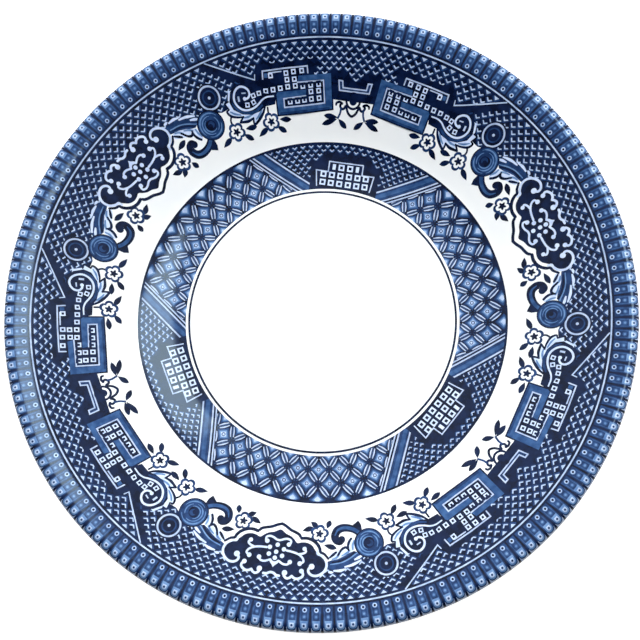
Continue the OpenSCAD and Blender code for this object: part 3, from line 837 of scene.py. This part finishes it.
blossom_places = [(8.5, 48.75, 36), (22.45, 43.55, 0), (29.6, 38.75, 20)]
blossom_leaves = [
    (9.9, 50.95, 12.8, 51.25), (4.65, 48.7, 7.0, 47.6), (6.1, 46.4, 7.9, 47.4), (9.9, 47.3, 10.3, 45.4),
    (17.7, 43.75, 20.7, 43.7), (23.2, 42.1, 23.9, 39.5), (24.4, 42.4, 26.6, 40.7),
    (25.2, 39.0, 28.2, 38.6), (29.8, 37.2, 30.3, 34.6), (31.3, 37.6, 33.1, 35.4),
]
stems = [[(22.9, 45.0), (23.4, 46.0), (24.6, 46.6)], [(30.4, 40.2), (31.4, 41.2)]]
blossom_art = [(stroke(stem, stem_line_w), deep_ink) for stem in stems]
blossom_art += [(leaf(*place), deep_ink) for place in blossom_leaves]
for place in blossom_places:
    blossom_art += blossom(*place)
print_film("blossom_prints", blossom_art)

# Border ground: dark ink round all the motifs, up to the white line, set with small pale ticks.
# It is printed with them. The ticks keep step with the ribs, each row half a rib on from the last.
tick_rows = 15
tick_columns = range(-1, 30)
tick_step = 1.0
first_tick_r = 63.5
tick = [(-0.74, 0.2), (-0.56, 0.36), (0, -0.03), (0.56, 0.36), (0.74, 0.2), (0.1, -0.33), (-0.1, -0.33)]
tick_shade = [(-1.05, 0.1), (-0.8, 0.3), (0, -0.35), (0.8, 0.3), (1.05, 0.1), (0.1, -0.72), (-0.1, -0.72)]
first_tick = [(-0.68, 0.32), (0.68, 0.32), (0, -0.36)]
ground_edge = [(24.4, 48.1), (23.4, 48.5), (22.3, 49.6), (19.5, 49), (17.5, 52.2), (12.2, 55.2), (8, 54),
               (-1, 54)]
link_side = swung([([(-1.5, 55), (12, 52), (25.8, 48.9)], bare)])[0][0]


def clear_of_motifs(marks):
    """The marks whose middles keep off what is printed already."""
    middles = np.array([mark.mean(0) for mark in marks])
    hit = np.zeros(len(marks), bool)
    for outline, kept_in in taken:
        found = inside(middles, outline)
        for limit in kept_in:
            found &= inside(middles, limit)
        hit |= found
    return [mark for mark, blocked in zip(marks, hit) if not blocked]


rim_arc = np.radians(np.linspace(-1.5, 61.5, 64))
ground_shape = np.vstack([
    np.c_[white_line_r * np.sin(rim_arc), white_line_r * np.cos(rim_arc)],
    link_side,
    ground_edge,
])
ticks, shades = [], []
for row in range(tick_rows):
    reach = first_tick_r - row * tick_step
    size = reach / first_tick_r
    for column in tick_columns:
        angle = (column + (0.5 if row % 2 == 0 else 0)) * rib_pitch
        shape = first_tick if row == 0 else tick
        ticks.append(bent([(x * size, reach + y) for x, y in shape], angle))
        shades.append(bent([(x * size, reach + y) for x, y in tick_shade], angle))
ground_art = [(ground_shape, deep_ink)]
ground_art += [(mark, half_ink) for mark in clear_of_motifs(shades)]
ground_art += [(mark, tick_ink) for mark in clear_of_motifs(ticks)]
print_film("border_ground_print", ground_art, within=(ground_shape,))

# Stepped frets: three dark stepped shapes on the inner band, which is a second print of the same ink.
# Each has a pale line inside its steps and rows of large beads.
band_r, band_in_r = 43.0, 32.1
band_line_w = 0.5
fret_line_w = 0.28
fret_bead_w = 1.42
fret_shape = [(-1, 40.6), (5.9, 40.6), (5.9, 38.2), (8.4, 38.2), (8.0, 30.5), (-1, 30.5)]
fret_line = [(-1, 38.5), (4.1, 38.5), (4.1, 36.1), (7.0, 36.1), (6.4, 32.4)]
fret_art = [
    (fret_shape, deep_ink),
    (stroke(fret_line, fret_line_w, curved=False), pale_ink),
]
for y, columns in ((37.35, (1.05,)), (35.4, (1.05, 3.1, 5.15)), (33.45, (1.05, 3.1, 5.1))):
    for x in columns:
        fret_art += bead(x, y, 0, fret_bead_w)
fret_art.append((block(2.45, 36.7, 3.2, 38.0), faint_ink))


def ring(low, high, start=-3.0, stop=63.0):
    """Part of a ring round the saucer."""
    turn = np.radians(np.linspace(start, stop, 67))
    way = np.c_[np.sin(turn), np.cos(turn)]
    return np.vstack([low * way, high * way[::-1]])


band_ring = ring(band_in_r, band_r)
print_film("band_fret_prints", swung(fret_art), within=(band_ring,))

# Stripes: a leaning blue band between pale lines that closes the lattice on either side.
# They are fired ink and printed with the inner band.
stripe_lean = 0.11
stripe_y = 37.0
inner_y, outer_y = 20.0, 42.0
inner_shift = (stripe_y - inner_y) * stripe_lean
stripe_line_w = 0.36


def stripe(x, width, ink):
    """Straight stripe across the band, at that distance from the cartouche's middle line."""
    ends = [(x + (stripe_y - y) * stripe_lean, y) for y in (inner_y, outer_y)]
    return stroke(ends, width, curved=False), ink


stripe_art = [
    stripe(21.2, 4.0, deep_ink),
    stripe(21.45, 1.9, half_ink),
    stripe(21.5, 0.9, blue_ink),
    stripe(22.6, stripe_line_w, pale_ink),
    stripe(20.2, stripe_line_w, pale_ink),
    stripe(19.45, 0.3, pale_ink),
    (ring(band_r - band_line_w, band_r), deep_ink),
]
stripe_zone = np.array([(19.2 + inner_shift, inner_y), (23.2 + inner_shift, inner_y), (22.3, 45), (18.3, 45)])
print_film("band_stripe_prints", stripe_art, within=(band_ring, stripe_zone))

# Coin lattice: a net of dark knots under each cartouche, of fired ink and printed with the inner band.
# Pairs of pale bowed strokes run from knot to knot, and a pale diamond with a ringed eye fills each mesh.
knot_pitch = 7.75
knot_columns = range(-1, 6)
knot_rows = (42.1, 38.5, 35.2, 31.9)
stroke_gap = 0.4


def lens(x0, y0, x1, y1):
    """Pair of bowed pale strokes along a mesh line, on a dark bed."""
    along = np.array([x1 - x0, y1 - y0])
    across = np.array([-along[1], along[0]]) / np.linalg.norm(along)
    start = np.array([x0, y0])
    pair = []
    for side in (stroke_gap, -stroke_gap):
        bow = [start + share * along + side * swell * across
               for share, swell in ((0.22, 0.8), (0.5, 1), (0.78, 0.8))]
        pair.append((stroke(bow, (0.2, 0.35, 0.2)), pale_ink))
    bed = [start + share * along for share in (0.1, 0.5, 0.9)]
    return [(stroke(bed, (0.9, 1.6, 0.9)), deep_ink), *pair, (stroke(bed, (0.1, 0.16, 0.1)), blue_ink)]


def knot_at(column, row):
    """Place of a knot, where every other row is half a step on."""
    turn = math.radians((column + (0.5 if row % 2 == 0 else 0)) * knot_pitch)
    return knot_rows[row] * math.sin(turn), knot_rows[row] * math.cos(turn)


lattice_zone = np.array([(-2, inner_y), (19.2 + inner_shift, inner_y), (18.3, 45), (-2, 46)])
lattice_art = [(lattice_zone, deep_ink)]
for row in range(4):
    for column in knot_columns:
        step_x, step_y = knot_at(column + 0.5, row)
        lean = -math.degrees(math.atan2(step_x, step_y))
        for side, ink in ((2.7, half_ink), (2.1, blue_ink), (1.65, light_ink), (1.1, tick_ink)):
            lattice_art.append((turned_block(step_x, step_y, side, side, lean + 45), ink))
        if row in (1, 2):
            lattice_art.append((disc(step_x, step_y, 0.46, 14), half_ink))
            lattice_art.append((disc(step_x, step_y, 0.26, 10), tick_ink))
for row in range(3):
    for column in knot_columns:
        x, y = knot_at(column, row)
        for side in (0, 1):
            below = column + side - (0 if row % 2 == 0 else 1)
            lattice_art += lens(x, y, *knot_at(below, row + 1))
lattice_art.append((ring(band_r - band_line_w, band_r), deep_ink))
print_film("band_lattice_prints", lattice_art, within=(band_ring, lattice_zone))

# Band trellis: dark ink between the stripes and the stepped frets, printed with the inner band.
# It is set with rows of ticks like the border's, but smaller.
small_columns = 22
small_pitch = 60 / small_columns
small_rows = 12
small_step = 0.95
first_small_r = 42.1
full_size_r = 42.0
small_w, small_h = 0.76, 0.8
small_tick = [(x * small_w, y * small_h) for x, y in tick]
small_shade = [(x * small_w, y * small_h) for x, y in tick_shade]
trellis_zone = np.array([(23.2 + inner_shift, inner_y), (22.3, 45), (30, 50), (60, 34), (40, 10)])
small_ticks, small_shades = [], []
for row in range(small_rows):
    reach = first_small_r - row * small_step
    size = reach / full_size_r
    for column in range(small_columns + 1):
        angle = (column + (0.5 if row % 2 == 0 else 0)) * small_pitch
        small_ticks.append(bent([(x * size, reach + y) for x, y in small_tick], angle))
        small_shades.append(bent([(x * size, reach + y) for x, y in small_shade], angle))
trellis_art = [(trellis_zone, deep_ink)]
trellis_art += [(mark, blue_ink) for mark in clear_of_motifs(small_shades)]
trellis_art += [(mark, pale_ink) for mark in clear_of_motifs(small_ticks)]
trellis_art.append((ring(band_r - band_line_w, band_r), deep_ink))
print_film("band_trellis_prints", trellis_art, within=(band_ring, trellis_zone))

# Well line: one thin dark line round the well, a little inside the band.
# It is fired ink, and comes off the same tissue as the inner band.
well_line_r = 31.54
well_line_w = 0.5
print_film("well_line_print", [(ring(well_line_r - well_line_w, well_line_r), deep_ink)])

# Floor, light and camera: a sweep of pale paper, flat under the saucer and curved up far round it.
# A soft lamp from behind lights it all, and a bluish reflector shows only as a sheen in the glaze.
# The paper shows to the camera alone, and the sky below it gives the underside an even light instead.
table_pale = (212, 212, 213)
table_dim = (205, 205, 207)
paper_glow = 0.8
paper_r = 3000.0
paper_curve_r = 800.0
paper_h = 2000.0
paper_t = 10.0
table_paper = ceramic("table_paper", table_dim, table_pale, 40.0, (0.75, 0.85), 1.5, 0.01)
paper_shader = table_paper.node_tree.nodes["Principled BSDF"]
paper_shader.inputs["Emission Color"].default_value = (1, 1, 1, 1)
paper_shader.inputs["Emission Strength"].default_value = paper_glow
paper_section = np.vstack([
    [[0, 0]],
    arc((paper_r - paper_curve_r, paper_curve_r), paper_curve_r, -90, 0, 16),
    [[paper_r, paper_h], [paper_r + paper_t, paper_h], [paper_r + paper_t, -paper_t], [0, -paper_t]],
])
paper = spun("table_paper", paper_section, table_paper)
paper.visible_diffuse = False
paper.visible_glossy = False
paper.visible_shadow = False

view_azimuth = math.radians(20.52)
view_elevation = math.radians(77.0)
view_distance = 266.3 * mm
view_twist = math.radians(-11.85)
view_aim = Vector((-0.1, -0.3, well_z + glaze_t)) * mm
lens_mm = 63.9
to_camera = Vector((
    math.sin(view_azimuth) * math.cos(view_elevation),
    -math.cos(view_azimuth) * math.cos(view_elevation),
    math.sin(view_elevation),
))
camera = bpy.data.objects.new("camera", bpy.data.cameras.new("camera"))
camera.data.lens = lens_mm
camera.data.clip_start = 0.01
camera.location = view_aim + to_camera * view_distance
camera.rotation_mode = "QUATERNION"
camera.rotation_quaternion = (-to_camera).to_track_quat("-Z", "Y") @ Quaternion((0, 0, 1), view_twist)
bpy.context.scene.collection.objects.link(camera)
bpy.context.scene.camera = camera


def softbox(name, way, side, power, shade=(1, 1, 1), mirrored=False):
    """Square soft lamp that faces the saucer. A mirrored one shows in the glaze alone."""
    lamp = bpy.data.objects.new(name, bpy.data.lights.new(name, "AREA"))
    lamp.data.size = side
    lamp.data.energy = power
    lamp.data.color = shade
    lamp.location = Vector(way).normalized() * lamp_distance
    lamp.rotation_mode = "QUATERNION"
    lamp.rotation_quaternion = (-Vector(way)).to_track_quat("-Z", "Y")
    lamp.visible_glossy = mirrored
    lamp.visible_diffuse = not mirrored
    bpy.context.scene.collection.objects.link(lamp)


lamp_distance = 1.2
softbox("overhead_lamp", (-0.05, 0.56, 0.83), 0.9, 21.0)
softbox("window_sheen", (0.27, 0.32, 0.91), 0.52, 5.6, shade=(0.62, 0.84, 1.0), mirrored=True)

sky_blue = (0.8, 0.92, 1.0, 1)
paper_white = (1.0, 0.98, 0.95, 1)
world = bpy.data.worlds.new("studio")
world.use_nodes = True
sky_tree = world.node_tree
sky = sky_tree.nodes["Background"]
way = sky_tree.nodes.new("ShaderNodeTexCoord")
depth = sky_tree.nodes.new("ShaderNodeSeparateXYZ")
tint = sky_tree.nodes.new("ShaderNodeValToRGB")
tint.color_ramp.elements[0].color = sky_blue
tint.color_ramp.elements[1].color = paper_white
both = sky_tree.nodes.new("ShaderNodeMath")
both.operation = "MAXIMUM"
sky_tree.links.new(way.outputs["Generated"], depth.inputs["Vector"])
from_behind = graded(sky_tree, depth.outputs["Y"], (-0.5, 0.2), (0.0, 0.6))
from_below = graded(sky_tree, depth.outputs["Z"], (-0.05, -0.4), (0.0, 0.9))
sky_tree.links.new(from_behind, both.inputs[0])
sky_tree.links.new(from_below, both.inputs[1])
sky_tree.links.new(from_below, tint.inputs["Fac"])
sky_tree.links.new(tint.outputs["Color"], sky.inputs["Color"])
sky_tree.links.new(both.outputs["Value"], sky.inputs["Strength"])
bpy.context.scene.world = world
bpy.context.scene.view_settings.view_transform = "Standard"
